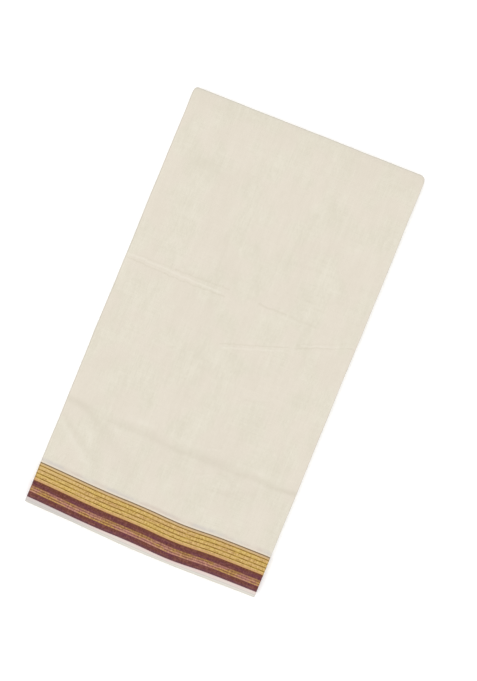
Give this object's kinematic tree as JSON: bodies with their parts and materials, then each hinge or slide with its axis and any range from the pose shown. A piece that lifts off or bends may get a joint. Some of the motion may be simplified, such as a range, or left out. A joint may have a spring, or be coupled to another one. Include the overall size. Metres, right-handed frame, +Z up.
{
  "type": "folded kerala saree",
  "caption": "Kerala saree of cream cotton with a gold and maroon woven border, folded into a flat rectangular bundle that lies on a surface.",
  "frame": {"origin": "middle of the underside, which lies flat on the surface", "axes": "+Z up, +Y along the bundle from the bordered near end to the far fold, +X across it to the side where the packets of layers show"},
  "size_m": [0.3438, 0.6298, 0.0144],
  "materials": {
    "cream_cotton": "matte",
    "selvedge_cotton": "matte",
    "maroon_cotton": "matte",
    "kasavu_and_maroon": "matte",
    "kasavu_gold": "satin"
  },
  "bodies": {
    "root": {"top_field": "cream_cotton", "far_fold": "cream_cotton", "under_field": "cream_cotton", "hidden_layers": "cream_cotton", "top_selvedge": "selvedge_cotton", "top_outer_maroon": "maroon_cotton", "top_kasavu_stripe": "kasavu_and_maroon", "top_inner_maroon": "maroon_cotton", "top_kasavu_band": "kasavu_gold", "under_selvedge": "selvedge_cotton", "under_outer_maroon": "maroon_cotton", "under_kasavu_stripe": "kasavu_and_maroon", "under_inner_maroon": "maroon_cotton", "under_kasavu_band": "kasavu_gold"}
  },
  "joints": []
}
